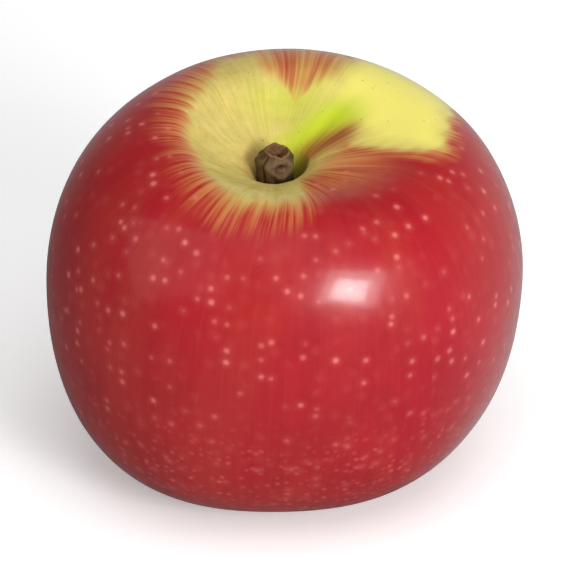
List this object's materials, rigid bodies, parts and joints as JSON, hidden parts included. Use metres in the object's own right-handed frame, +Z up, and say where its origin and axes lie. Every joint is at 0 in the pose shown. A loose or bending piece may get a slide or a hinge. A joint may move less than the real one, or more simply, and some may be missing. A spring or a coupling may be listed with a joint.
{
  "type": "apple",
  "caption": "Whole fresh red apple with a yellow-green stem cavity, a short woody stem and a dried eye, standing on its base.",
  "frame": {"origin": "on the floor under the middle of the fruit's outer box, at the level of the ring that it stands on", "axes": "+Z up towards the stem; -Y towards the side that shows in the picture; +X to the right seen from that side"},
  "size_m": [0.0816, 0.079, 0.0679],
  "materials": {
    "skin": "smooth waxy apple skin, crimson with fine lengthwise streaks, pale dots and a yellow-green stem cavity",
    "stem_wood": "rough brown woody stem with a paler cut end",
    "dry_leaf": "dry, dull, grey-brown leaflet",
    "dry_thread": "dry, dull, dark brown thread"
  },
  "bodies": {
    "root": {"fruit": "skin", "stem": "stem_wood", "sepal_1": "dry_leaf", "sepal_2": "dry_leaf", "sepal_3": "dry_leaf", "sepal_4": "dry_leaf", "sepal_5": "dry_leaf", "stamen_1": "dry_thread", "stamen_2": "dry_thread", "stamen_3": "dry_thread", "stamen_4": "dry_thread", "stamen_5": "dry_thread", "stamen_6": "dry_thread", "stamen_7": "dry_thread", "stamen_8": "dry_thread"}
  },
  "joints": []
}
